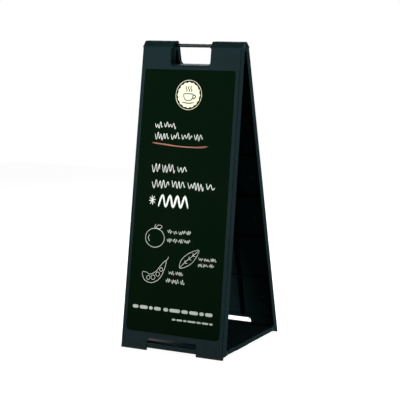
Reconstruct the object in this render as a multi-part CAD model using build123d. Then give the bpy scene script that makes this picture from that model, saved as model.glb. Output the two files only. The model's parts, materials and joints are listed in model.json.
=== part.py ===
from build123d import *
import math
import os

os.makedirs("parts", exist_ok=True)

# A folding sandwich board: two identical hollow moulded panels hang on one rod, and a base plate
# of two identical leaves joins their feet.  The front panel leans back from the ground at -Y.
# Each panel is drawn upright with the rod's axis at its origin and its outer face towards -Y,
# then leaned and lifted into place.  The rear half is the front half turned round by 180 degrees.

# ---- driving dimensions (mm and degrees) ----
ROD_HEIGHT = 986.5
LEAN = 10.03
HALF_WIDTH_AT_ROD = 183.8
TAPER = 0.0082                  # growth of the half width per mm down the panel
FACE_DEPTH = 26.0               # rod axis to the panel's outer face
RIM_DEPTH = 2.0                 # rod axis to the plane of the panel's inner rim
WALL = 5.0
FACE_EDGE_RADIUS = 4.0

# top of the panel
SPLIT = -8.0                    # height where the face runs into the bevel
BEVEL_DEPTH = 12.0              # rod axis to the bevel's upper edge
BEVEL_HEIGHT = 12.6
BEVEL_RADIUS = 3.0
TOP_FLAT_DEPTH = 4.0
KNUCKLE_RADIUS = 14.0
KNUCKLE_RELIEF = 14.6
LANE_EDGE = 125.0               # where the two panels' knuckles meet on the rod
LANE_GAP = 1.0
HAND_HALF_WIDTH = 70.0
HAND_SILL = -65.4
HAND_EDGE_RADIUS = 9.0
HAND_CORNER_RADIUS = 10.0

# chalk board and its recess
BOARD_TOP = -81.4
BOARD_BOTTOM = -947.1
BOARD_INSET = 15.4
BOARD_TOP_CORNER = 9.0
BOARD_BOTTOM_CORNER = 15.0
RECESS_DEPTH = 4.0
RECESS_FLOOR = 3.0
BOARD_THICKNESS = 3.4
BOARD_GAP = 0.6

# inside of the panel
CAVITY_TOP = -90.0
CAVITY_BOTTOM = -988.0
RIBS_BOTTOM = -950.0
RIB_COUNT = 5
RIB_THICKNESS = 3.0
RIB_SETBACK = 5.0               # ribs stop this far short of the rim plane
RIB_HALF_SPACING = 62.0
CAVITY_CORNER = 6.0
SHOULDER_CAVITY_TOP = -24.0
SHOULDER_CAVITY_CORNER = 3.0
RELIEF_DEPTH = 9.0              # rod axis to the front of the notch behind the other knuckle

# slot between the feet and the bar under it
SLOT_TOP = -965.0
SLOT_BOTTOM = -982.5
SLOT_HALF_WIDTH = 94.0
SLOT_CORNER = 10.0
BAR_SETBACK = 2.5               # the bar's face lies this far behind the panel's face

# feet
RIM_BOTTOM_Z = 8.0
PAD_THICKNESS = 4.0
LIP_THICKNESS = 7.0

# rod, washers and caps
ROD_RADIUS = 6.0
RUNNING_GAP = 0.05
ROD_HALF_LENGTH = 179.0
WASHER_RADIUS = 12.0
WASHER_THICKNESS = 1.6
CAP_RADIUS = 9.0
CAP_LENGTH = 4.0
CAP_POCKET_X = 176.8
CAP_POCKET_GAP = 0.4
CAP_CROWN_RADIUS = 1.2
ROD_END_CHAMFER = 0.8
WASHER_BORE_GAP = 0.1
CAP_SEAT_GAP = 0.5

# base plate
LEAF_THICKNESS = 15.0
LEAF_HALF_WIDTH = 190.1
PIVOT_Z = 16.5
PIVOT_OFFSET = 8.0              # pivot behind the rod axis plane, in the panel's own frame
EAR_RADIUS = 9.0
EAR_THICKNESS = 11.0
BARREL_GAP = 0.8                # ear's inner face to the leaf's barrel
EAR_GAP = 2.6                   # ear's round end to the leaf's side wing
SKIRT_GAP = 0.3                 # leaf's side to the thin flange that covers the other leaf's finger
SKIRT_THICKNESS = 1.3
SKIRT_TIP = 4.0
SKIRT_ROOT = 60.0
SKIRT_REACH = 146.0
FINGER_REACH = 225.0
FINGER_BEVEL = 42.0
TIP_GAP = 1.4
FINGER_SIDE_GAP = 0.75
FINGER_TIP_CHAMFER = 2.0
SKIN = 3.5
POCKET_WALL = 4.0
POCKET_START = 13.0             # leaf pivot to its first pocket
CROSS_RIB = 54.0                # leaf pivot to the middle of the rib between the pockets
LEAF_PIN_RADIUS = 3.0
LEAF_PIN_HEAD_RADIUS = 4.6
LEAF_PIN_HEAD = 1.5
LEAF_PIN_INNER_X = 150.0
CENTRE_PIN_RADIUS = 4.0
CENTRE_PIN_INSET = 10.0         # outer pin's end to the leaf's side
CENTRE_PIN_MARGIN = 1.5

# board screws
SCREW_RADIUS = 1.75
SCREW_HEAD_RADIUS = 3.5
SCREW_HEAD = 2.0
SCREW_X = 150.0
SCREW_BITE = 2.4
SCREW_CLEARANCE = 0.2
SCREW_BAYS = (0, 2, 3, 5)       # bays between the ribs, from the top, that hold screws

FAR = 1100.0                    # longer than any part of the object
OVERCUT = 1.0                   # how far a cut runs on past the surface it opens

# ---- derived places ----
LEAN_SIN = math.sin(math.radians(LEAN))
LEAN_COS = math.cos(math.radians(LEAN))
PIVOT_UP = (PIVOT_Z - ROD_HEIGHT + PIVOT_OFFSET * LEAN_SIN) / LEAN_COS
PIVOT_Y = -(PIVOT_OFFSET * LEAN_COS + PIVOT_UP * LEAN_SIN)
STUB_REACH = 2 * PIVOT_Y - FINGER_REACH - TIP_GAP
LANE_WIDTH = LEAF_HALF_WIDTH / 2
EAR_OUTER_X = LEAF_HALF_WIDTH
EAR_INNER_X = EAR_OUTER_X - EAR_THICKNESS
BARREL_HALF_LENGTH = EAR_INNER_X - BARREL_GAP
SKIRT_OUTER_X = LEAF_HALF_WIDTH + SKIRT_GAP + SKIRT_THICKNESS
FACE_SKIN_BACK = RECESS_DEPTH + RECESS_FLOOR
RIB_PITCH = (CAVITY_TOP - RIBS_BOTTOM) / (RIB_COUNT + 1)
LEANED = Pos(0, 0, ROD_HEIGHT) * Rot(-LEAN, 0, 0)
TURNED = Rot(0, 0, 180)


def front_slab(sketch, y_front, y_back):
    """Extrude an X-Z sketch between two depths."""
    plane = Plane((0, y_back, 0), x_dir=(1, 0, 0), z_dir=(0, -1, 0))
    return extrude(plane * sketch, y_back - y_front)


def side_bar(sketch, x_low, x_high):
    """Extrude a Y-Z sketch between two places along X."""
    plane = Plane((x_low, 0, 0), x_dir=(0, 1, 0), z_dir=(1, 0, 0))
    return extrude(plane * sketch, x_high - x_low)


def box_between(x_low, x_high, y_low, y_high, z_low, z_high):
    """A box given by its limits."""
    size = Box(x_high - x_low, y_high - y_low, z_high - z_low)
    return Pos((x_low + x_high) / 2, (y_low + y_high) / 2, (z_low + z_high) / 2) * size


def cross_rod(radius, x_low, x_high, y=0.0, z=0.0):
    """A cylinder along X."""
    return Pos((x_low + x_high) / 2, y, z) * Rot(0, 90, 0) * Cylinder(radius, x_high - x_low)


def half_width(z):
    """Half the panel's width at a height on the panel."""
    return HALF_WIDTH_AT_ROD - TAPER * z


def tapered(inset, z_low, z_high, low_corner=0.0, high_corner=0.0):
    """A panel-shaped sketch, inset from the panel's sides, with round lower and upper corners."""
    low = half_width(z_low) - inset
    high = half_width(z_high) - inset
    sketch = Polygon((-low, z_low), (low, z_low), (high, z_high), (-high, z_high), align=None)
    if low_corner:
        sketch = fillet(sketch.vertices().sort_by(Axis.Y)[:2], low_corner)
    if high_corner:
        sketch = fillet(sketch.vertices().sort_by(Axis.Y)[-2:], high_corner)
    return sketch


def panel_side_profile():
    """The panel's section through its thickness, with a bevelled top."""
    sketch = Polygon(
        (-RIM_DEPTH, -FAR),
        (-RIM_DEPTH, KNUCKLE_RADIUS),
        (-TOP_FLAT_DEPTH, KNUCKLE_RADIUS),
        (-BEVEL_DEPTH, BEVEL_HEIGHT),
        (-FACE_DEPTH, SPLIT),
        (-FACE_DEPTH, -FAR),
        align=None,
    )
    bevel_corners = [v for v in sketch.vertices() if v.X < -TOP_FLAT_DEPTH - 1 and v.Y > -FAR / 2]
    return fillet(bevel_corners, BEVEL_RADIUS)


def hand_opening():
    """The slot between the shoulders, open at the top."""
    sketch = Polygon(
        (-HAND_HALF_WIDTH, HAND_SILL),
        (HAND_HALF_WIDTH, HAND_SILL),
        (HAND_HALF_WIDTH, FACE_DEPTH * 2),
        (-HAND_HALF_WIDTH, FACE_DEPTH * 2),
        align=None,
    )
    sketch = fillet(sketch.vertices().sort_by(Axis.Y)[:2], HAND_CORNER_RADIUS)
    return front_slab(sketch, -2 * FACE_DEPTH, 2 * FACE_DEPTH)


def foot_slot():
    """The slot through the panel's skin between its two feet."""
    sketch = Polygon(
        (-SLOT_HALF_WIDTH, SLOT_BOTTOM),
        (SLOT_HALF_WIDTH, SLOT_BOTTOM),
        (SLOT_HALF_WIDTH, SLOT_TOP),
        (-SLOT_HALF_WIDTH, SLOT_TOP),
        align=None,
    )
    sketch = fillet(sketch.vertices().sort_by(Axis.Y)[2:], SLOT_CORNER)
    slot = front_slab(sketch, -2 * FACE_DEPTH, 2 * FACE_DEPTH)
    bar_face = -FACE_DEPTH + BAR_SETBACK
    x = SLOT_HALF_WIDTH
    return slot + box_between(-x, x, -2 * FACE_DEPTH, bar_face, -FAR, SLOT_BOTTOM + OVERCUT)


def panel_shell():
    """The outer block: soft edges on its straight part, crisp ones on the bevelled top."""
    seam = SPLIT - BEVEL_RADIUS
    block = side_bar(panel_side_profile(), -FAR, FAR)
    straight = block & front_slab(tapered(0, -FAR, seam), -2 * FACE_DEPTH, 2 * FACE_DEPTH)
    straight = fillet([e for e in straight.edges() if is_side_edge(e)], FACE_EDGE_RADIUS)
    straight = straight - hand_opening()
    straight = fillet([e for e in straight.edges() if is_hand_edge(e)], HAND_EDGE_RADIUS)
    top = block & front_slab(tapered(0, seam, KNUCKLE_RADIUS + WALL), -2 * FACE_DEPTH, 2 * FACE_DEPTH)
    return straight + (top - hand_opening()) - foot_slot()


def is_side_edge(edge):
    """Long edges between the outer face and the panel's two sides."""
    middle = edge @ 0.5
    on_side = abs(abs(middle.X) - half_width(middle.Z)) < 0.5
    return on_side and middle.Y < -FACE_DEPTH + 0.5 and middle.Z > -FAR + 1


def is_hand_edge(edge):
    """Edges between the outer face and the hand opening."""
    middle = edge @ 0.5
    inside = abs(middle.X) < HAND_HALF_WIDTH + 0.5 and middle.Z > HAND_SILL - 0.5
    return inside and middle.Y < -FACE_DEPTH + 0.5 and middle.Z < SPLIT - BEVEL_RADIUS - 0.5


def knuckle_lanes():
    """X ranges in which this panel carries a knuckle."""
    outer = half_width(0)
    return [(-outer, -LANE_EDGE - LANE_GAP), (HAND_HALF_WIDTH, LANE_EDGE - LANE_GAP)]


def relief_lanes():
    """X ranges in which the other panel carries its knuckle."""
    outer = half_width(0) + OVERCUT
    return [(LANE_EDGE - LANE_GAP, outer), (-LANE_EDGE - LANE_GAP, -HAND_HALF_WIDTH)]


def ear_profile():
    """A lug that holds a leaf pin, drawn through the panel's thickness."""
    root = -FACE_DEPTH + FACE_SKIN_BACK
    block = Pos((root + PIVOT_OFFSET) / 2, PIVOT_UP) * Rectangle(PIVOT_OFFSET - root, 2 * EAR_RADIUS)
    return block + Pos(PIVOT_OFFSET, PIVOT_UP) * Circle(EAR_RADIUS)


def screw_places():
    """Heights and sides of the screws that hold the board."""
    rows = [CAVITY_TOP - RIB_PITCH * (bay + 0.5) for bay in SCREW_BAYS]
    return [(side * SCREW_X, z) for z in rows for side in (-1, 1)]


def along_depth(radius, x, z, y_low, y_high):
    """A cylinder along Y."""
    return Pos(x, (y_low + y_high) / 2, z) * Rot(90, 0, 0) * Cylinder(radius, y_high - y_low)


def panel_cavities():
    """The hollows at the panel's back, between its ribs."""
    back = -FACE_DEPTH + FACE_SKIN_BACK
    main = front_slab(tapered(WALL, CAVITY_BOTTOM, CAVITY_TOP, CAVITY_CORNER, CAVITY_CORNER), back, 0)
    corner = SHOULDER_CAVITY_CORNER
    shoulders = front_slab(tapered(WALL, CAVITY_TOP + WALL, SHOULDER_CAVITY_TOP, corner, corner), back, 0)
    inner = HAND_HALF_WIDTH + HAND_EDGE_RADIUS
    shoulders = shoulders - box_between(-inner, inner, -FAR, FAR, -FAR, FAR)
    return main + shoulders


def panel_ribs():
    """Stiffening ribs across and along the panel's back."""
    back = -FACE_DEPTH + RECESS_DEPTH + OVERCUT
    front = -RIM_DEPTH - RIB_SETBACK
    ribs = None
    for k in range(1, RIB_COUNT + 1):
        z = CAVITY_TOP - RIB_PITCH * k
        x = half_width(z) - WALL / 2
        bar = box_between(-x, x, back, front, z - RIB_THICKNESS / 2, z + RIB_THICKNESS / 2)
        ribs = bar if ribs is None else ribs + bar
    for side in (-1, 1):
        x = side * RIB_HALF_SPACING
        half = RIB_THICKNESS / 2
        ribs = ribs + box_between(x - half, x + half, back, front, RIBS_BOTTOM, CAVITY_TOP + OVERCUT)
    x = half_width(RIBS_BOTTOM) - WALL / 2
    return ribs + box_between(-x, x, back, front - WALL, RIBS_BOTTOM - RIB_THICKNESS, RIBS_BOTTOM)


def upright_panel():
    """The moulded panel in its own frame, before its feet are trimmed."""
    body = panel_shell() - panel_cavities() + panel_ribs()
    for x_low, x_high in relief_lanes():
        body = body - cross_rod(KNUCKLE_RELIEF, x_low, x_high)
        body = body - box_between(x_low, x_high, -RELIEF_DEPTH, FACE_DEPTH, -RIM_DEPTH, FACE_DEPTH)
    for x_low, x_high in knuckle_lanes():
        body = body + cross_rod(KNUCKLE_RADIUS, x_low, x_high)
    recess = tapered(BOARD_INSET, BOARD_BOTTOM, BOARD_TOP, BOARD_BOTTOM_CORNER, BOARD_TOP_CORNER)
    body = body - front_slab(recess, -FACE_DEPTH - OVERCUT, -FACE_DEPTH + RECESS_DEPTH)
    for side in (-1, 1):
        low, high = sorted((side * EAR_INNER_X, side * EAR_OUTER_X))
        body = body + side_bar(ear_profile(), low, high)
        low, high = sorted((side * (EAR_INNER_X - OVERCUT), side * (EAR_OUTER_X + 2 * OVERCUT)))
        body = body - cross_rod(LEAF_PIN_RADIUS, low, high, PIVOT_OFFSET, PIVOT_UP)
        low, high = sorted((side * (EAR_OUTER_X - LEAF_PIN_HEAD), side * (EAR_OUTER_X + 2 * OVERCUT)))
        body = body - cross_rod(LEAF_PIN_HEAD_RADIUS, low, high, PIVOT_OFFSET, PIVOT_UP)
    body = body - cross_rod(ROD_RADIUS + RUNNING_GAP, -FAR, FAR)
    for side in (-1, 1):
        low, high = sorted((side * CAP_POCKET_X, side * FAR))
        body = body - cross_rod(CAP_RADIUS + CAP_POCKET_GAP, low, high)
    skin_end = -FACE_DEPTH + FACE_SKIN_BACK + OVERCUT
    for x, z in screw_places():
        body = body - along_depth(SCREW_RADIUS + SCREW_CLEARANCE, x, z, -FACE_DEPTH, skin_end)
    return body


def foot_lips():
    """The front lips of both feet, down past the ground."""
    lip = front_slab(tapered(0, -FAR, SLOT_BOTTOM), -FACE_DEPTH, -FACE_DEPTH + LIP_THICKNESS)
    lip = fillet([e for e in lip.edges() if is_side_edge(e)], FACE_EDGE_RADIUS)
    return lip - box_between(-SLOT_HALF_WIDTH, SLOT_HALF_WIDTH, -FAR, FAR, -2 * FAR, FAR)


def make_panel():
    """The leaned panel with its rims and lips cut level."""
    body = LEANED * upright_panel()
    body = body - box_between(-FAR, FAR, -FAR, FAR, -FAR, PIVOT_Z - EAR_RADIUS)
    outside_ears = box_between(-FAR, FAR, -FAR, -PIVOT_Y - EAR_RADIUS - OVERCUT, -FAR, RIM_BOTTOM_Z)
    body = body - outside_ears
    lips = LEANED * foot_lips()
    lips = lips & box_between(-FAR, FAR, -FAR, FAR, PAD_THICKNESS, RIM_BOTTOM_Z + 2 * OVERCUT)
    return body + lips


def make_foot_pad(side):
    """The rubber pad bonded under one foot's lip."""
    low, high = sorted((0, side * FAR))
    lips = LEANED * foot_lips()
    return lips & box_between(low, high, -FAR, FAR, 0, PAD_THICKNESS)


def make_board():
    """The chalk board sheet, a little below the panel's face."""
    back = -FACE_DEPTH + RECESS_DEPTH
    sketch = tapered(
        BOARD_INSET + BOARD_GAP,
        BOARD_BOTTOM + BOARD_GAP,
        BOARD_TOP - BOARD_GAP,
        BOARD_BOTTOM_CORNER - BOARD_GAP,
        BOARD_TOP_CORNER - BOARD_GAP,
    )
    sheet = front_slab(sketch, back - BOARD_THICKNESS, back)
    for x, z in screw_places():
        sheet = sheet - along_depth(SCREW_RADIUS, x, z, back - SCREW_BITE - SCREW_CLEARANCE, back + OVERCUT)
    return LEANED * sheet


def make_board_screws():
    """The pan-head screws that hold the board from behind."""
    back = -FACE_DEPTH + RECESS_DEPTH
    seat = -FACE_DEPTH + FACE_SKIN_BACK
    screws = []
    for x, z in screw_places():
        shank = along_depth(SCREW_RADIUS, x, z, back - SCREW_BITE, seat)
        head = along_depth(SCREW_HEAD_RADIUS, x, z, seat, seat + SCREW_HEAD)
        crown = head.edges().sort_by(Axis.Y)[-1]
        screws.append(LEANED * (shank + chamfer(crown, SCREW_HEAD / 3)))
    return Compound(screws)


def make_rod():
    """The steel rod on which both panels turn, and by which the sign is carried."""
    rod = cross_rod(ROD_RADIUS, -ROD_HALF_LENGTH, ROD_HALF_LENGTH)
    return Pos(0, 0, ROD_HEIGHT) * chamfer(rod.edges(), ROD_END_CHAMFER)


def make_washers():
    """Thrust washers between the panels' knuckles."""
    washers = []
    for side in (-1, 1):
        x = side * LANE_EDGE
        low = x - WASHER_THICKNESS / 2
        high = x + WASHER_THICKNESS / 2
        bore = cross_rod(ROD_RADIUS + WASHER_BORE_GAP, low - OVERCUT, high + OVERCUT)
        ring = cross_rod(WASHER_RADIUS, low, high) - bore
        washers.append(Pos(0, 0, ROD_HEIGHT) * ring)
    return Compound(washers)


def make_rod_cap(side):
    """A push-on cap that keeps the rod from sliding out."""
    inner = side * (CAP_POCKET_X + CAP_SEAT_GAP)
    outer = side * (CAP_POCKET_X + CAP_SEAT_GAP + CAP_LENGTH)
    cap = cross_rod(CAP_RADIUS, min(inner, outer), max(inner, outer))
    crown = cap.edges().sort_by(Axis.X)[-1 if side > 0 else 0]
    cap = fillet(crown, CAP_CROWN_RADIUS)
    rod_end = side * ROD_HALF_LENGTH
    cap = cap - cross_rod(ROD_RADIUS, min(inner - OVERCUT, rod_end), max(inner + OVERCUT, rod_end))
    return Pos(0, 0, ROD_HEIGHT) * cap


def make_leaf_pin(side):
    """A headed pin through a panel's ear into the leaf's barrel."""
    inner = side * LEAF_PIN_INNER_X
    seat = side * (EAR_OUTER_X - LEAF_PIN_HEAD)
    outer = side * EAR_OUTER_X
    shank = cross_rod(LEAF_PIN_RADIUS, min(inner, seat), max(inner, seat), -PIVOT_Y, PIVOT_Z)
    head = cross_rod(LEAF_PIN_HEAD_RADIUS, min(seat, outer), max(seat, outer), -PIVOT_Y, PIVOT_Z)
    return shank + head


def leaf_profile(reach, bevel):
    """A leaf's section from its round pivot edge to its end."""
    half = LEAF_THICKNESS / 2
    low = PIVOT_Z - half
    high = PIVOT_Z + half
    start = -PIVOT_Y
    edge = Polyline(
        (start, low),
        (start + reach - bevel, low),
        (start + reach, high - FINGER_TIP_CHAMFER),
        (start + reach - FINGER_TIP_CHAMFER, high),
        (start, high),
    )
    arc = ThreePointArc((start, high), (start - half, PIVOT_Z), (start, low))
    return make_face(edge + arc)


def leaf_pockets():
    """Hollows under the front leaf, that leave a skin, walls and ribs."""
    high = PIVOT_Z + LEAF_THICKNESS / 2 - SKIN
    start = -PIVOT_Y
    half_wall = POCKET_WALL / 2
    stub_end = STUB_REACH - POCKET_WALL
    spans = [(POCKET_START, CROSS_RIB - half_wall), (CROSS_RIB + half_wall, stub_end - half_wall)]
    finger_spans = spans + [(stub_end + half_wall, PIVOT_Y - POCKET_START)]
    pockets = []
    for lane in range(4):
        low = -LEAF_HALF_WIDTH + LANE_WIDTH * lane + POCKET_WALL
        high_x = low + LANE_WIDTH - 2 * POCKET_WALL
        for near, far in (finger_spans if lane % 2 == 0 else spans):
            pockets.append(box_between(low, high_x, start + near, start + far, 0, high))
    return pockets


def make_front_leaf():
    """The front leaf: a full-width part with two long fingers."""
    leaf = side_bar(leaf_profile(STUB_REACH, 0), -LEAF_HALF_WIDTH, LEAF_HALF_WIDTH)
    for lane in (0, 2):
        low = -LEAF_HALF_WIDTH + LANE_WIDTH * lane
        high = low + LANE_WIDTH - FINGER_SIDE_GAP
        low = low + (FINGER_SIDE_GAP if lane else 0)
        leaf = leaf + side_bar(leaf_profile(FINGER_REACH, FINGER_BEVEL), low, high)
    leaf = leaf - leaf_pockets() + leaf_skirt()
    for side in (-1, 1):
        low, high = sorted((side * BARREL_HALF_LENGTH, side * FAR))
        ear_end = -PIVOT_Y + EAR_RADIUS + EAR_GAP
        leaf = leaf - box_between(low, high, -FAR, ear_end, 0, 2 * PIVOT_Z)
        low, high = sorted((side * (LEAF_PIN_INNER_X - OVERCUT), side * FAR))
        leaf = leaf - cross_rod(LEAF_PIN_RADIUS + RUNNING_GAP, low, high, -PIVOT_Y, PIVOT_Z)
    for low, high in centre_pin_spans():
        leaf = leaf - cross_rod(CENTRE_PIN_RADIUS, low - OVERCUT, high + CENTRE_PIN_MARGIN, 0, PIVOT_Z)
    return leaf


def leaf_skirt():
    """A thin flange on the stub's outer side that runs on past the stub's end."""
    low = PIVOT_Z - LEAF_THICKNESS / 2
    high = PIVOT_Z + LEAF_THICKNESS / 2
    start = -PIVOT_Y
    sketch = Polygon(
        (start + SKIRT_ROOT, low),
        (start + SKIRT_REACH - SKIRT_TIP, low),
        (start + SKIRT_REACH, low + SKIRT_TIP),
        (start + SKIRT_REACH, high),
        (start + SKIRT_ROOT, high),
        align=None,
    )
    flange = side_bar(sketch, LEAF_HALF_WIDTH + SKIRT_GAP, SKIRT_OUTER_X)
    root = box_between(
        LEAF_HALF_WIDTH - OVERCUT,
        LEAF_HALF_WIDTH + OVERCUT,
        start + SKIRT_ROOT,
        start + STUB_REACH - OVERCUT,
        low,
        high,
    )
    return flange + root


def centre_pin_spans():
    """X ranges of the two pins in the front leaf's fingers."""
    margin = CENTRE_PIN_MARGIN
    return [(-LEAF_HALF_WIDTH + CENTRE_PIN_INSET, -LANE_WIDTH - margin), (margin, LANE_WIDTH - margin)]


def make_centre_pins():
    """The pins of the base plate's centre hinge, held in the front leaf's fingers."""
    spans = centre_pin_spans()
    return Compound([cross_rod(CENTRE_PIN_RADIUS, low, high, 0, PIVOT_Z) for low, high in spans])


def write(name, shape):
    """Write one sub-part."""
    shape.label = name
    export_step(shape, "parts/" + name + ".step")


def write_both(name, shape):
    """Write a front sub-part and its twin at the rear."""
    write("front_" + name, shape)
    write("rear_" + name, TURNED * shape)


write_both("panel", make_panel())
write_both("chalk_board", make_board())
write_both("board_screws", make_board_screws())
write_both("foot_pad_left", make_foot_pad(-1))
write_both("foot_pad_right", make_foot_pad(1))
write_both("leaf_pin_left", make_leaf_pin(-1))
write_both("leaf_pin_right", make_leaf_pin(1))
write_both("base_leaf", make_front_leaf())
write("centre_hinge_pins", make_centre_pins())
write("hinge_rod", make_rod())
write("hinge_washers", make_washers())
write("rod_cap_left", make_rod_cap(-1))
write("rod_cap_right", make_rod_cap(1))
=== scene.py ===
import json
import math
import random

import bmesh
import bpy
from mathutils import Matrix, Vector


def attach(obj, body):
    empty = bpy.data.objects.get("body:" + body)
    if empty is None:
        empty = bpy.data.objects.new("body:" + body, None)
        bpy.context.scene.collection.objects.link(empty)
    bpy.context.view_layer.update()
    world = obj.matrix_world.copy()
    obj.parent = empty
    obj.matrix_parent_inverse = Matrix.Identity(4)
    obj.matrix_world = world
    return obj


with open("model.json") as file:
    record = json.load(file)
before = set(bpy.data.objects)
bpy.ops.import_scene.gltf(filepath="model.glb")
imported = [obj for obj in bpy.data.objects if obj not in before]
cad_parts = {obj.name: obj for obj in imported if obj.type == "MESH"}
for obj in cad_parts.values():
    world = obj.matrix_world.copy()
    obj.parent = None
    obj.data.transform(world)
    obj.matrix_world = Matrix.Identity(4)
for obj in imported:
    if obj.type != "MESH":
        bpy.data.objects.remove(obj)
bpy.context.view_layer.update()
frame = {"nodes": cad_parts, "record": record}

# ---- camera: where the sign is seen from (metres and degrees) ----
CAMERA_TARGET = Vector((0.0068, 0.0, 0.4764))
CAMERA_AZIMUTH = 29.58
CAMERA_ELEVATION = 9.79
CAMERA_ROLL = -1.00
CAMERA_DISTANCE = 4.533
CAMERA_LENS = 122.87

# ---- colours (linear) ----
FRAME_DARK = (0.0025, 0.0110, 0.0124, 1)
FRAME_LIGHT = (0.0038, 0.0148, 0.0166, 1)
FRAME_WORN = (0.026, 0.048, 0.052, 1)
BOARD_GREEN = (0.0001, 0.0048, 0.0010, 1)
BOARD_HAZE = (0.0006, 0.0068, 0.0024, 1)
CHALK_WHITE = (0.90, 0.95, 0.90, 1)
CHALK_CREAM = (0.84, 0.84, 0.62, 1)
CHALK_PINK = (0.50, 0.21, 0.165, 1)
PRINT_GREY = (0.45, 0.50, 0.45, 1)
PRINT_DARK = (0.006, 0.020, 0.012, 1)
DUST = (0.034, 0.042, 0.042, 1)
ROD_DARK = (0.0040, 0.0090, 0.0095, 1)
ROD_LIGHT = (0.0075, 0.0150, 0.0155, 1)
ROD_CHIP = (0.10, 0.10, 0.10, 1)
STEEL_CLEAN = (0.42, 0.42, 0.43, 1)
STEEL_STAINED = (0.26, 0.25, 0.24, 1)
ZINC_BLACK = (0.020, 0.022, 0.024, 1)
ZINC_NICK = (0.14, 0.14, 0.15, 1)
RUBBER_BLACK = (0.010, 0.011, 0.011, 1)
NYLON_DARK = (0.010, 0.012, 0.012, 1)
NYLON_LIGHT = (0.018, 0.020, 0.020, 1)
FLOOR_PAPER = (0.4, 0.4, 0.4, 1)
WHITE = (1, 1, 1, 1)

# ---- floor, backdrop and lights (metres, watts and degrees) ----
FLOOR_SIZE = 6.4
FLOOR_GLOW = 0.92               # the floor's own brightness, for the camera alone
DOME_LOW = 0.03                 # the backdrop's light level with the horizon
DOME_HIGH = 0.10                # and overhead
DOME_TOP = 0.8                  # height on the dome where it is at its brightest
# name, place, target, size, power, spread
LIGHTS = (
    ("key", (-3.0, -4.2, 1.0), (0.1, 0, 1.15), 2.4, 42, 44),
    ("overhead", (0.0, 0.0, 5.0), (0, 0, 0), 5.0, 20, 180),
    ("edge", (5.0, 1.3, 0.4), (0, 0, 0.5), 2.0, 330, 180),
    ("back", (-1.4, 3.6, 3.2), (0, 0.1, 0.7), 2.4, 60, 70),
)

# ---- the badge, in mm on the board ----
BADGE_X = 2
BADGE_Z = -163
BADGE_RADIUS = 41
BADGE_RING = 48
BADGE_SCALLOPS = 16

# ---- where a panel's board lies, in mm from the rod, before the panel leans ----
ROD_HEIGHT = 986.5
LEAN = math.radians(10.03)
BOARD_SURFACE = -25.4
INK_DEPTH = 0.12
INK_HEIGHT = 0.30
ROW_RISE = 0.018                # how much a row of writing climbs as it runs


# ---------------------------------------------------------------- materials
class Nodes:
    """A small helper that adds and joins the nodes of one material."""

    def __init__(self, name):
        self.material = bpy.data.materials.new(name)
        self.material.use_nodes = True
        self.tree = self.material.node_tree
        self.shader = self.tree.nodes["Principled BSDF"]
        self.place = self.add("ShaderNodeTexCoord").outputs["Object"]

    def add(self, kind, **settings):
        node = self.tree.nodes.new(kind)
        for key, value in settings.items():
            setattr(node, key, value)
        return node

    def feed(self, socket, value):
        """Joins a socket to another node's output, or gives it a plain value."""
        if isinstance(value, bpy.types.NodeSocket):
            self.tree.links.new(value, socket)
        else:
            socket.default_value = value

    def noise(self, scale, detail=3.0, roughness=0.5, stretch=(1, 1, 1)):
        """Noise in the object's own space, in features per metre."""
        mapping = self.add("ShaderNodeMapping")
        self.feed(mapping.inputs["Vector"], self.place)
        mapping.inputs["Scale"].default_value = stretch
        node = self.add("ShaderNodeTexNoise")
        self.feed(node.inputs["Vector"], mapping.outputs["Vector"])
        node.inputs["Scale"].default_value = scale
        node.inputs["Detail"].default_value = detail
        node.inputs["Roughness"].default_value = roughness
        return node.outputs["Fac"]

    def cells(self, scale):
        """Rounded cells, as in spark-eroded mould texture."""
        node = self.add("ShaderNodeTexVoronoi", feature="SMOOTH_F1")
        self.feed(node.inputs["Vector"], self.place)
        node.inputs["Scale"].default_value = scale
        return node.outputs["Distance"]

    def ramp(self, value, low, high, low_value=0.0, high_value=1.0):
        """Maps a span of a value to another span, and clamps it."""
        node = self.add("ShaderNodeMapRange")
        self.feed(node.inputs["Value"], value)
        node.inputs["From Min"].default_value = low
        node.inputs["From Max"].default_value = high
        node.inputs["To Min"].default_value = low_value
        node.inputs["To Max"].default_value = high_value
        return node.outputs["Result"]

    def math(self, operation, a, b=0.0):
        node = self.add("ShaderNodeMath", operation=operation)
        self.feed(node.inputs[0], a)
        self.feed(node.inputs[1], b)
        return node.outputs["Value"]

    def blend(self, factor, a, b):
        """Mixes two colours."""
        node = self.add("ShaderNodeMix", data_type="RGBA")
        self.feed(node.inputs["Factor"], factor)
        self.feed(node.inputs[6], a)
        self.feed(node.inputs[7], b)
        return node.outputs[2]

    def bump(self, height, distance, strength, normal=None):
        node = self.add("ShaderNodeBump")
        self.feed(node.inputs["Height"], height)
        node.inputs["Distance"].default_value = distance
        node.inputs["Strength"].default_value = strength
        if normal is not None:
            self.feed(node.inputs["Normal"], normal)
        return node.outputs["Normal"]

    def edges(self, radius, low, high):
        """How near an outer or inner edge a point is, from 0 to 1."""
        bevel = self.add("ShaderNodeBevel", samples=6)
        bevel.inputs["Radius"].default_value = radius
        geometry = self.add("ShaderNodeNewGeometry")
        dot = self.add("ShaderNodeVectorMath", operation="DOT_PRODUCT")
        self.feed(dot.inputs[0], bevel.outputs["Normal"])
        self.feed(dot.inputs[1], geometry.outputs["Normal"])
        return self.ramp(dot.outputs["Value"], high, low)

    def height_above_floor(self):
        split = self.add("ShaderNodeSeparateXYZ")
        self.feed(split.inputs["Vector"], self.place)
        return split.outputs["Z"]

    def finish(self, colour, roughness, normal=None, **plain):
        self.feed(self.shader.inputs["Base Color"], colour)
        self.feed(self.shader.inputs["Roughness"], roughness)
        if normal is not None:
            self.feed(self.shader.inputs["Normal"], normal)
        for key, value in plain.items():
            self.shader.inputs[key.replace("_", " ")].default_value = value
        return self.material


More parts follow.
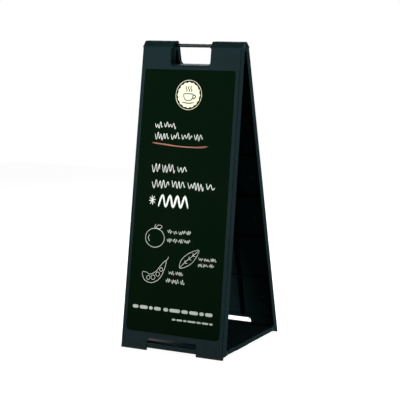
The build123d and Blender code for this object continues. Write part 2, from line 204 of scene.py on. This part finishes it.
def moulded_plastic():
    """Dark green-grey polyethylene with a fine mould texture, scuffed edges and a trace of dust."""
    n = Nodes("moulded_plastic")
    broad = n.noise(5.0, 4.0)
    colour = n.blend(n.ramp(broad, 0.35, 0.65), FRAME_DARK, FRAME_LIGHT)
    scratch = n.noise(160.0, 2.0, 0.7, stretch=(1.0, 1.0, 0.06))
    patches = n.ramp(n.noise(70.0, 5.0, 0.65), 0.42, 0.66)
    rubbed = n.math("MULTIPLY", n.edges(0.0022, 0.80, 0.985), patches)
    wear = n.math("MAXIMUM", n.math("MULTIPLY", rubbed, 0.55), n.ramp(scratch, 0.70, 0.78, 0, 0.30))
    colour = n.blend(wear, colour, FRAME_WORN)
    low = n.ramp(n.height_above_floor(), 0.0, 0.10, 1.0, 0.0)
    dust = n.math("MULTIPLY", low, n.ramp(n.noise(40.0, 6.0, 0.7), 0.40, 0.75, 0.0, 0.25))
    colour = n.blend(dust, colour, DUST)
    grain = n.cells(1500.0)
    normal = n.bump(grain, 0.00018, 0.30)
    normal = n.bump(n.noise(9.0, 2.0), 0.004, 0.06, normal)
    texture = n.math("ADD", n.math("MULTIPLY", broad, 0.6), n.math("MULTIPLY", grain, 0.4))
    roughness = n.ramp(texture, 0.2, 0.8, 0.62, 0.76)
    return n.finish(colour, roughness, normal, Specular_IOR_Level=0.060)


def board_surface():
    """A near-black green writing surface with faint wiped chalk."""
    n = Nodes("board_surface")
    wipes = n.noise(7.0, 5.0, 0.6, stretch=(1.0, 1.0, 0.35))
    grain = n.noise(900.0, 2.0, 0.6)
    smears = n.ramp(wipes, 0.45, 0.75, 0.0, 0.45)
    haze = n.math("MULTIPLY", smears, n.ramp(grain, 0.35, 0.6, 0.6, 1.0))
    colour = n.blend(haze, BOARD_GREEN, BOARD_HAZE)
    normal = n.bump(grain, 0.00012, 0.30)
    return n.finish(colour, n.ramp(wipes, 0.3, 0.7, 0.60, 0.72), normal, Specular_IOR_Level=0.012)


def rod_paint():
    """Dark paint on steel, polished by hands and chipped here and there."""
    n = Nodes("rod_paint")
    orange_peel = n.noise(420.0, 2.0, 0.5)
    polish = n.noise(14.0, 3.0, 0.5)
    chips = n.ramp(n.noise(260.0, 5.0, 0.7), 0.66, 0.70)
    colour = n.blend(n.ramp(polish, 0.35, 0.65), ROD_DARK, ROD_LIGHT)
    colour = n.blend(n.math("MULTIPLY", chips, 0.6), colour, ROD_CHIP)
    normal = n.bump(orange_peel, 0.00012, 0.3)
    return n.finish(colour, n.ramp(polish, 0.3, 0.7, 0.40, 0.54), normal, Specular_IOR_Level=0.12)


def steel():
    """Satin steel with fine turning marks."""
    n = Nodes("satin_steel")
    turned = n.noise(900.0, 2.0, 0.5, stretch=(1.0, 0.05, 0.05))
    stain = n.ramp(n.noise(60.0, 5.0, 0.6), 0.45, 0.75)
    colour = n.blend(stain, STEEL_CLEAN, STEEL_STAINED)
    normal = n.bump(turned, 0.0001, 0.25)
    return n.finish(colour, n.ramp(turned, 0.3, 0.7, 0.28, 0.42), normal, Metallic=1.0)


def fastener_steel():
    """Black zinc plating with small bright nicks."""
    n = Nodes("fastener_steel")
    nicks = n.ramp(n.noise(900.0, 4.0, 0.7), 0.58, 0.72)
    colour = n.blend(nicks, ZINC_BLACK, ZINC_NICK)
    normal = n.bump(n.noise(1500.0, 2.0), 0.00008, 0.3)
    return n.finish(colour, n.ramp(nicks, 0, 1, 0.50, 0.36), normal, Metallic=0.6)


def rubber():
    """Black rubber, a little grey where it meets the ground."""
    n = Nodes("pad_rubber")
    speckle = n.noise(1200.0, 3.0, 0.7)
    low = n.ramp(n.height_above_floor(), 0.0, 0.004, 1.0, 0.0)
    dust = n.math("MULTIPLY", low, n.ramp(speckle, 0.4, 0.65, 0.0, 0.6))
    colour = n.blend(dust, RUBBER_BLACK, DUST)
    normal = n.bump(speckle, 0.0002, 0.5)
    return n.finish(colour, n.ramp(speckle, 0.3, 0.7, 0.72, 0.86), normal, Specular_IOR_Level=0.3)


def nylon():
    """Smooth black nylon with faint moulding swirls."""
    n = Nodes("nylon")
    swirl = n.noise(120.0, 3.0, 0.5)
    colour = n.blend(n.ramp(swirl, 0.3, 0.7), NYLON_DARK, NYLON_LIGHT)
    normal = n.bump(n.noise(700.0, 2.0), 0.0001, 0.2)
    return n.finish(colour, n.ramp(swirl, 0.3, 0.7, 0.52, 0.62), normal, Specular_IOR_Level=0.15)


def chalk(name, colour):
    """Paint-marker chalk: solid in the middle, with fine grain and thin patches."""
    n = Nodes(name)
    grain = n.noise(1100.0, 3.0, 0.7)
    patch = n.noise(160.0, 4.0, 0.6)
    thin = tuple(c * 0.72 for c in colour[:3]) + (1,)
    mix = n.math("MULTIPLY", n.ramp(grain, 0.40, 0.66), n.ramp(patch, 0.40, 0.70, 0.25, 1.0))
    body = n.blend(mix, colour, thin)
    normal = n.bump(grain, 0.0002, 0.5)
    return n.finish(body, n.ramp(grain, 0.3, 0.7, 0.80, 0.93), normal, Specular_IOR_Level=0.2)


MATERIALS = {
    "frame_plastic": moulded_plastic(),
    "chalk_board": board_surface(),
    "rod_paint": rod_paint(),
    "steel": steel(),
    "fastener_steel": fastener_steel(),
    "pad_rubber": rubber(),
    "nylon": nylon(),
}


def dress_nodes():
    """Gives every CAD node the material of its slot in the record."""
    for part in frame["record"]["subparts"]:
        node = frame["nodes"][part["node"]]
        material = MATERIALS[part["material_slot"]]
        if not node.material_slots:
            node.data.materials.append(material)
        for place in node.material_slots:
            place.material = material


# ---------------------------------------------------------------- chalk marks
class Ink:
    """Collects low rounded strokes on one panel's board, and makes them one piece."""

    def __init__(self, side, seed):
        self.side = side
        self.random = random.Random(seed)
        self.points = []
        self.faces = []

    def place(self, x, z, lift):
        """x across and z up from the rod, in mm, as read on the board; lift is out of its surface."""
        depth = BOARD_SURFACE - lift
        y = depth * math.cos(LEAN) + z * math.sin(LEAN)
        up = ROD_HEIGHT - depth * math.sin(LEAN) + z * math.cos(LEAN)
        turn = 1 if self.side == "front" else -1
        return (turn * x / 1000, turn * y / 1000, up / 1000)

    def ring(self, corners):
        first = len(self.points)
        self.points.extend(self.place(*corner) for corner in corners)
        return range(first, first + len(corners))

    def join(self, a, b):
        count = len(a)
        for i in range(count):
            j = (i + 1) % count
            self.faces.append((a[i], a[j], b[j], b[i]))

    def stroke(self, corners, width, closed=False, lift=0.0):
        """A line of the pen through the corners, thinner at its ends."""
        line = smooth(corners, closed)
        rings = []
        last = len(line) - 1
        for i, (x, z) in enumerate(line):
            before = line[(i - 1) % len(line)] if closed else line[max(i - 1, 0)]
            after = line[(i + 1) % len(line)] if closed else line[min(i + 1, last)]
            along = Vector((after[0] - before[0], after[1] - before[1]))
            if along.length < 1e-6:
                along = Vector((1, 0))
            along.normalize()
            half = width / 2 * self.random.uniform(0.90, 1.08)
            if not closed:
                half *= (0.45, 0.85, 1.0)[min(i, last - i, 2)]
            nx, nz = -along.y * half, along.x * half
            rings.append(self.ring((
                (x + nx, z + nz, lift + 0.04),
                (x + nx * 0.5, z + nz * 0.5, lift + INK_HEIGHT * 0.8),
                (x, z, lift + INK_HEIGHT),
                (x - nx * 0.5, z - nz * 0.5, lift + INK_HEIGHT * 0.8),
                (x - nx, z - nz, lift + 0.04),
                (x, z, -INK_DEPTH),
            )))
        for a, b in zip(rings, rings[1:]):
            self.join(a, b)
        if closed:
            self.join(rings[-1], rings[0])
        else:
            self.faces.append(tuple(reversed(rings[0])))
            self.faces.append(tuple(rings[-1]))

    def disc(self, x, z, radius, edge=0.0, waves=1):
        """A filled round with a slightly domed face, and an edge that may wave."""
        count = 144
        rings = []
        for share, lift in ((1.0, -INK_DEPTH), (1.0, 0.06), (0.985, 0.18), (0.9, 0.22), (0.5, 0.24)):
            corners = []
            for i in range(count):
                angle = math.tau * i / count
                reach = radius * share * (1 + edge * math.cos(waves * angle))
                corners.append((x + reach * math.cos(angle), z + reach * math.sin(angle), lift))
            rings.append(self.ring(corners))
        for a, b in zip(rings, rings[1:]):
            self.join(a, b)
        self.faces.append(tuple(reversed(rings[0])))
        self.faces.append(tuple(rings[-1]))

    def bar(self, x, z, length, height):
        """A solid dash with round ends, raised as evenly as print."""
        count = 10
        outline = []
        for end, middle in ((1, x + length - height / 2), (-1, x + height / 2)):
            for i in range(count + 1):
                angle = math.radians(-90 + 180 * i / count)
                across = middle + end * height / 2 * math.cos(angle)
                outline.append((across, z + end * height / 2 * math.sin(angle)))
        middle = x + length / 2
        rings = []
        for share, lift in ((1.0, -INK_DEPTH), (1.0, 0.08), (0.94, 0.16)):
            corners = [(middle + (u - middle) * share, z + (v - z) * share, lift) for u, v in outline]
            rings.append(self.ring(corners))
        for a, b in zip(rings, rings[1:]):
            self.join(a, b)
        self.faces.append(tuple(reversed(rings[0])))
        self.faces.append(tuple(rings[-1]))

    def squiggle(self, left, right, low, size, width):
        """One quick zigzag of the pen, as long as a word, that spells nothing."""
        jitter = self.random.uniform
        pitch = width * 0.55
        corners = []
        across = left
        high = True
        while across < right:
            level = jitter(0.62, 1.0) if high else jitter(0.0, 0.30)
            corners.append((across, low + size * level))
            across += size * jitter(0.12, 0.24) + pitch
            high = not high
        corners.append((right, low + size * 0.4))
        self.stroke(corners, width)

    def row(self, left, right, low, size, width):
        """A row of zigzags with gaps between them."""
        across = left
        while across < right - size * 0.4:
            end = across + size * self.random.uniform(0.9, 2.1)
            if right - end < size * 0.8:
                end = right
            base = low + (across - left) * ROW_RISE + size * self.random.uniform(-0.04, 0.04)
            self.squiggle(across, end, base, size, width)
            across = end + size * 0.32

    def dashes(self, left, lengths, z, height, gap):
        """A row of solid dashes."""
        for length in lengths:
            self.bar(left, z, length, height)
            left += length + gap

    def finish(self, name, material):
        mesh = bpy.data.meshes.new(name)
        mesh.from_pydata(self.points, [], self.faces)
        mesh.materials.append(material)
        for face in mesh.polygons:
            face.use_smooth = True
        piece = bpy.data.objects.new(self.side + "_" + name, mesh)
        bpy.context.collection.objects.link(piece)
        edges = bmesh.new()
        edges.from_mesh(mesh)
        bmesh.ops.recalc_face_normals(edges, faces=edges.faces)
        edges.to_mesh(mesh)
        edges.free()
        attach(piece, self.side + "_panel")


def smooth(corners, closed=False, steps=5):
    """A smooth line through the corners."""
    count = len(corners)
    line = []
    spans = count if closed else count - 1
    for i in range(spans):
        if closed:
            p = [corners[(i + k) % count] for k in (-1, 0, 1, 2)]
        else:
            p = [corners[min(max(i + k, 0), count - 1)] for k in (-1, 0, 1, 2)]
        for step in range(steps):
            t = step / steps
            point = []
            for axis in (0, 1):
                a, b, c, d = (q[axis] for q in p)
                bend = (2 * a - 5 * b + 4 * c - d) * t * t + (3 * b - a - 3 * c + d) * t * t * t
                point.append(0.5 * (2 * b + (c - a) * t + bend))
            line.append(tuple(point))
    if not closed:
        line.append(tuple(corners[-1]))
    return line


def arc(x, z, across, up, start, end, count=12):
    """Corners along part of an ellipse, in degrees."""
    corners = []
    for i in range(count):
        angle = math.radians(start + (end - start) * i / (count - 1))
        corners.append((x + across * math.cos(angle), z + up * math.sin(angle)))
    return corners


def write_rows(side, seed, material):
    """The menu: rows of quick chalk scrawls, in two sizes of line."""
    ink = Ink(side, seed)
    ink.row(-117, -39, -277, 23, 2.0)
    ink.row(-115, 64, -314, 26, 2.1)
    ink.row(-118, 13, -422, 31, 2.3)
    ink.row(-114, 122, -474, 33, 2.4)
    ink.row(-42, 44, -619, 15, 1.35)
    ink.row(-42, 44, -646, 14, 1.35)
    ink.row(80, 145, -697, 12, 1.3)
    ink.row(80, 138, -716, 12, 1.3)
    ink.row(-28, 26, -752, 16, 1.4)
    ink.row(-36, 34, -780, 17, 1.4)
    ink.finish("chalk_writing", material)


def write_feature(side, seed, material):
    """The bold entry: a small star and a heavy wavy flourish."""
    ink = Ink(side, seed)
    for i in range(4):
        angle = math.radians(10 + 45 * i)
        x, z = 13 * math.cos(angle), 16 * math.sin(angle)
        ink.stroke([(-108 - x, -512 - z), (-108, -512), (-108 + x, -512 + z)], 2.8)
    wave = []
    for i in range(9):
        wave.append((-84 + 14 * i, -512 + (19 if i % 2 else -19)))
    ink.stroke(wave, 7.0)
    ink.finish("chalk_feature", material)


def draw_sketches(side, seed, material):
    """Three plain line drawings: a round fruit, a slim leaf and a pod."""
    ink = Ink(side, seed)
    pen = 1.35
    ink.stroke(arc(-89, -635, 36, 31, 0, 345, 16), pen, closed=True)
    ink.stroke([(-89, -606), (-92, -598), (-88, -590)], pen)
    ink.stroke([(-88, -600), (-76, -592), (-64, -597), (-76, -605), (-88, -601)], pen)
    ink.stroke([(-110, -625), (-114, -637), (-108, -648)], pen)
    leaf = [(12, -725), (15, -702), (34, -681), (58, -668), (80, -662), (72, -684), (56, -706), (34, -720)]
    ink.stroke(leaf, pen, closed=True)
    ink.stroke([(12, -725), (34, -702), (56, -684), (78, -664)], pen)
    for x, z in ((30, -707), (44, -694), (58, -682)):
        ink.stroke([(x, z), (x + 1, z + 9)], pen)
        ink.stroke([(x, z), (x + 10, z - 2)], pen)
    pod = [(-128, -752), (-118, -776), (-90, -783), (-62, -768), (-46, -738), (-40, -706),
           (-58, -722), (-76, -744), (-98, -756), (-114, -750)]
    ink.stroke(pod, pen, closed=True)
    for x, z, radius in ((-104, -767, 6.5), (-86, -765, 7.5), (-69, -753, 7), (-57, -737, 6)):
        ink.stroke(arc(x, z, radius, radius, 0, 330, 9), pen * 0.9, closed=True)
    ink.stroke([(-40, -706), (-34, -699), (-33, -692)], pen)
    ink.finish("chalk_sketches", material)


def draw_underline(side, seed, material):
    """Two overlaid sweeps of coloured chalk under the heading."""
    ink = Ink(side, seed)
    ink.stroke([(-124, -323), (-80, -326), (-20, -331), (40, -331), (87, -327)], 2.2)
    ink.stroke([(-118, -325), (-60, -330), (0, -333), (52, -333), (78, -331)], 1.4)
    ink.finish("chalk_underline", material)


def draw_badge(side, seed, material, dark):
    """A plain scalloped round with a cup and saucer on it, inside a thin ring."""
    ink = Ink(side, seed)
    ink.disc(BADGE_X, BADGE_Z, BADGE_RADIUS, 0.035, BADGE_SCALLOPS)
    ink.finish("badge", material)
    line = Ink(side, seed + 1)
    pen = 3.2
    level = 0.22                # height of the disc's face
    line.stroke([(-17, -160), (-14, -174), (-5, -181), (7, -181), (16, -174), (19, -160)], pen, lift=level)
    line.stroke([(-17, -160), (0, -159), (19, -160)], pen, lift=level)
    line.stroke([(19, -163), (27, -165), (26, -172), (16, -175)], pen, lift=level)
    line.stroke([(-22, -187), (1, -190), (25, -187)], pen, lift=level)
    for x in (-8, 1, 10):
        line.stroke([(x, -153), (x + 3, -147), (x - 2, -141), (x + 2, -134)], pen, lift=level)
    line.finish("badge_cup", dark)
    ring = Ink(side, seed + 2)
    ring.stroke(arc(BADGE_X, BADGE_Z, BADGE_RING, BADGE_RING, 0, 352, 46), 1.8, closed=True)
    ring.finish("badge_ring", material)


def print_footer(side, seed, material):
    """Two rows of solid dashes along the bottom."""
    ink = Ink(side, seed)
    ink.dashes(-156, (22, 31, 14, 26), -866, 11, 5)
    ink.dashes(-38, (18, 40, 24, 33, 16, 27), -866, 11, 5)
    ink.dashes(-4, (14, 21, 12, 30, 15, 24, 12), -895, 6, 4)
    ink.finish("printed_footer", material)


def mark_board(side, seed):
    """Everything drawn on one panel's board."""
    write_rows(side, seed, WHITE_CHALK)
    write_feature(side, seed + 10, WHITE_CHALK)
    draw_sketches(side, seed + 20, WHITE_CHALK)
    draw_underline(side, seed + 30, PINK_CHALK)
    draw_badge(side, seed + 40, CREAM_PRINT, BADGE_LINE)
    print_footer(side, seed + 50, GREY_PRINT)


WHITE_CHALK = chalk("chalk_white", CHALK_WHITE)
PINK_CHALK = chalk("chalk_pink", CHALK_PINK)
CREAM_PRINT = chalk("print_cream", CHALK_CREAM)
GREY_PRINT = chalk("print_grey", PRINT_GREY)
BADGE_LINE = chalk("print_dark", PRINT_DARK)


# ---------------------------------------------------------------- camera, floor and light
def add_camera():
    """A long lens, turned to the sign's right and a little above it."""
    azimuth = math.radians(CAMERA_AZIMUTH)
    elevation = math.radians(CAMERA_ELEVATION)
    roll = math.radians(CAMERA_ROLL)
    level = math.cos(elevation)
    back = Vector((math.sin(azimuth) * level, -math.cos(azimuth) * level, math.sin(elevation)))
    flat_right = Vector((math.cos(azimuth), math.sin(azimuth), 0))
    flat_up = back.cross(flat_right)
    right = flat_right * math.cos(roll) + flat_up * math.sin(roll)
    up = flat_up * math.cos(roll) - flat_right * math.sin(roll)
    camera = bpy.data.objects.new("camera", bpy.data.cameras.new("camera"))
    camera.data.lens = CAMERA_LENS
    camera.data.sensor_width = 36
    camera.data.clip_end = 60
    turn = Matrix((right, up, back)).transposed().to_4x4()
    camera.matrix_world = Matrix.Translation(CAMERA_TARGET + back * CAMERA_DISTANCE) @ turn
    bpy.context.collection.objects.link(camera)
    bpy.context.scene.camera = camera


def add_floor():
    """A plain pale floor that reads as white, with a soft shadow under the sign."""
    bpy.ops.mesh.primitive_plane_add(size=FLOOR_SIZE, location=(0, 0, 0))
    floor = bpy.context.object
    floor.name = "floor"
    material = bpy.data.materials.new("floor_paper")
    material.use_nodes = True
    tree = material.node_tree
    shader = tree.nodes["Principled BSDF"]
    shader.inputs["Base Color"].default_value = FLOOR_PAPER
    shader.inputs["Roughness"].default_value = 0.95
    shader.inputs["Specular IOR Level"].default_value = 0.0
    shader.inputs["Emission Color"].default_value = WHITE
    path = tree.nodes.new("ShaderNodeLightPath")
    glow = tree.nodes.new("ShaderNodeMath")
    glow.operation = "MULTIPLY"
    glow.inputs[1].default_value = FLOOR_GLOW
    tree.links.new(path.outputs["Is Camera Ray"], glow.inputs[0])
    tree.links.new(glow.outputs["Value"], shader.inputs["Emission Strength"])
    floor.data.materials.append(material)


def add_light(name, place, target, size, power, spread):
    """A square area light aimed at a point, its beam up to a number of degrees wide."""
    lamp = bpy.data.lights.new(name, "AREA")
    lamp.size = size
    lamp.energy = power
    lamp.spread = math.radians(spread)
    light = bpy.data.objects.new(name, lamp)
    light.location = place
    aim = Vector(target) - Vector(place)
    light.rotation_euler = aim.to_track_quat("-Z", "Y").to_euler()
    bpy.context.collection.objects.link(light)


def add_world():
    """A white backdrop to look at, and a dimmer dome that brightens overhead to light by."""
    world = bpy.data.worlds.new("studio")
    bpy.context.scene.world = world
    world.use_nodes = True
    tree = world.node_tree
    surroundings = tree.nodes["Background"]
    surroundings.inputs["Color"].default_value = WHITE
    place = tree.nodes.new("ShaderNodeTexCoord")
    split = tree.nodes.new("ShaderNodeSeparateXYZ")
    dome = tree.nodes.new("ShaderNodeMapRange")
    dome.inputs["From Min"].default_value = 0.0
    dome.inputs["From Max"].default_value = DOME_TOP
    dome.inputs["To Min"].default_value = DOME_LOW
    dome.inputs["To Max"].default_value = DOME_HIGH
    path = tree.nodes.new("ShaderNodeLightPath")
    seen = tree.nodes.new("ShaderNodeMath")
    seen.operation = "MAXIMUM"
    tree.links.new(place.outputs["Generated"], split.inputs["Vector"])
    tree.links.new(split.outputs["Z"], dome.inputs["Value"])
    tree.links.new(dome.outputs["Result"], seen.inputs[0])
    tree.links.new(path.outputs["Is Camera Ray"], seen.inputs[1])
    tree.links.new(seen.outputs["Value"], surroundings.inputs["Strength"])


dress_nodes()
mark_board("front", 3)
mark_board("rear", 103)
add_camera()
add_floor()
for light in LIGHTS:
    add_light(*light)
add_world()
bpy.context.scene.view_settings.view_transform = "Standard"
